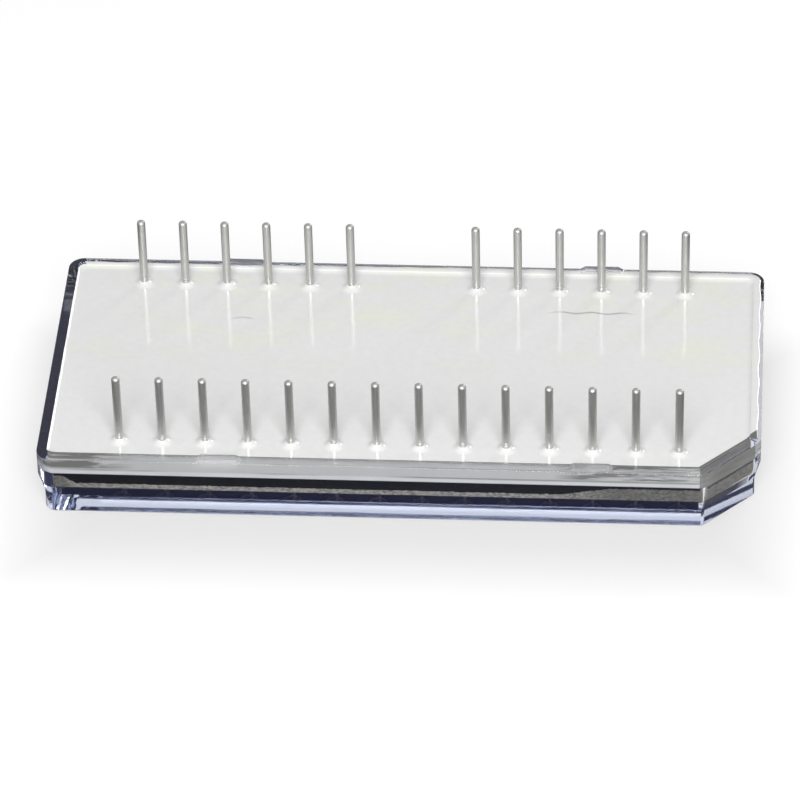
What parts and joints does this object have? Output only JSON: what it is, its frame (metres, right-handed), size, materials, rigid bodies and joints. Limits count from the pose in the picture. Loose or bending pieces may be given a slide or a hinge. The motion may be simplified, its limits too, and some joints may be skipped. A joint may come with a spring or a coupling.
{
  "type": "alphanumeric led display",
  "caption": "Dot-matrix character display module in a dual in-line package: tinted lens tray, circuit board with light-emitting dies and driver chip, resin back and round leads.",
  "frame": {"origin": "centre of the package outline, on the outer face of the window", "axes": "+Z towards the lead tips; +X along the lead rows, towards the end with the cut corner; the row with leads 1 to 14 lies at -Y"},
  "size_m": [0.0426, 0.0196, 0.0088],
  "materials": {
    "tinted_lens": "gloss",
    "black_laminate": "satin",
    "silicon": "polished",
    "cover_plastic": "satin",
    "potting_resin": "gloss",
    "led_die": "gloss",
    "lead_metal": "satin",
    "solder": "gloss"
  },
  "bodies": {
    "root": {"lens_tray": "tinted_lens", "circuit_board": "black_laminate", "driver_chip": "silicon", "chip_cover": "cover_plastic", "resin_back": "potting_resin", "character_1_dies": "led_die", "character_2_dies": "led_die", "character_3_dies": "led_die", "character_4_dies": "led_die", "character_5_dies": "led_die", "character_6_dies": "led_die", "character_7_dies": "led_die", "character_8_dies": "led_die", "lead_01": "lead_metal", "lead_02": "lead_metal", "lead_03": "lead_metal", "lead_04": "lead_metal", "lead_05": "lead_metal", "lead_06": "lead_metal", "lead_07": "lead_metal", "lead_08": "lead_metal", "lead_09": "lead_metal", "lead_10": "lead_metal", "lead_11": "lead_metal", "lead_12": "lead_metal", "lead_13": "lead_metal", "lead_14": "lead_metal", "lead_15": "lead_metal", "lead_16": "lead_metal", "lead_17": "lead_metal", "lead_18": "lead_metal", "lead_19": "lead_metal", "lead_20": "lead_metal", "lead_23": "lead_metal", "lead_24": "lead_metal", "lead_25": "lead_metal", "lead_26": "lead_metal", "lead_27": "lead_metal", "lead_28": "lead_metal", "solder_front_row": "solder", "solder_back_row": "solder"}
  },
  "joints": []
}
